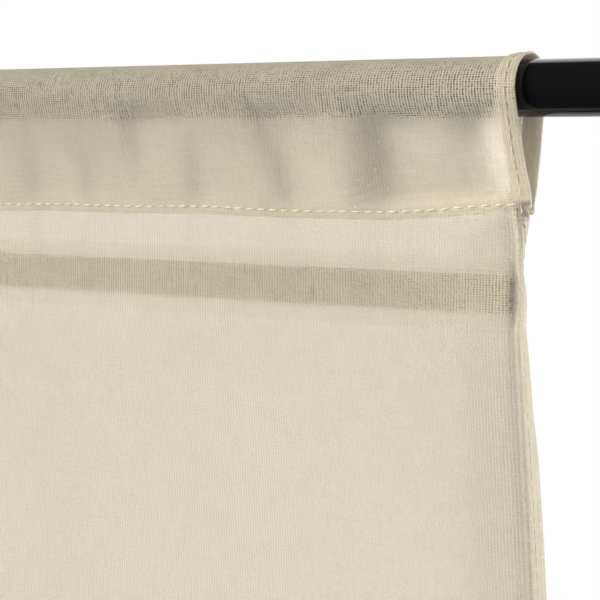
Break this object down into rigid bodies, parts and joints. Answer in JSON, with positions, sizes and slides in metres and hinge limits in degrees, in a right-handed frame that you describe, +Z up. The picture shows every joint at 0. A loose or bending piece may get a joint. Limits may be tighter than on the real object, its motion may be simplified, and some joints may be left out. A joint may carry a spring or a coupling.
{
  "type": "roman blind",
  "caption": "Roman blind of sheer woven cloth, hung by a sewn pocket on a round rod, with battens in tape casings, a weighted bottom hem and cord rings on the back.",
  "frame": {"origin": "on the rod's axis at mid length, where the blind is hung", "axes": "+X along the rod to the viewer's right, -Y out of the cloth's face, +Z up; the cloth hangs along -Z"},
  "size_m": [0.695, 0.0203, 1.4037],
  "materials": {
    "sheer_cloth": "sheer plain weave, natural linen look",
    "casing_tape": "thin woven tape",
    "rod_paint": "black satin powder coat",
    "plug_plastic": "black moulded plastic",
    "batten_plastic": "drawn plastic strip",
    "bar_metal": "mill finish",
    "ring_plastic": "moulded plastic"
  },
  "bodies": {
    "root": {"blind_cloth": "sheer_cloth", "curtain_rod": "rod_paint", "rod_plug_left": "plug_plastic", "rod_plug_right": "plug_plastic", "bottom_bar": "bar_metal", "head_casing": "casing_tape", "fold_casing_1": "casing_tape", "fold_casing_2": "casing_tape", "fold_casing_3": "casing_tape", "fold_casing_4": "casing_tape", "head_batten": "batten_plastic", "fold_batten_1": "batten_plastic", "fold_batten_2": "batten_plastic", "fold_batten_3": "batten_plastic", "fold_batten_4": "batten_plastic", "head_rings": "ring_plastic", "fold_rings_1": "ring_plastic", "fold_rings_2": "ring_plastic", "fold_rings_3": "ring_plastic", "fold_rings_4": "ring_plastic", "bottom_rings": "ring_plastic"}
  },
  "joints": []
}
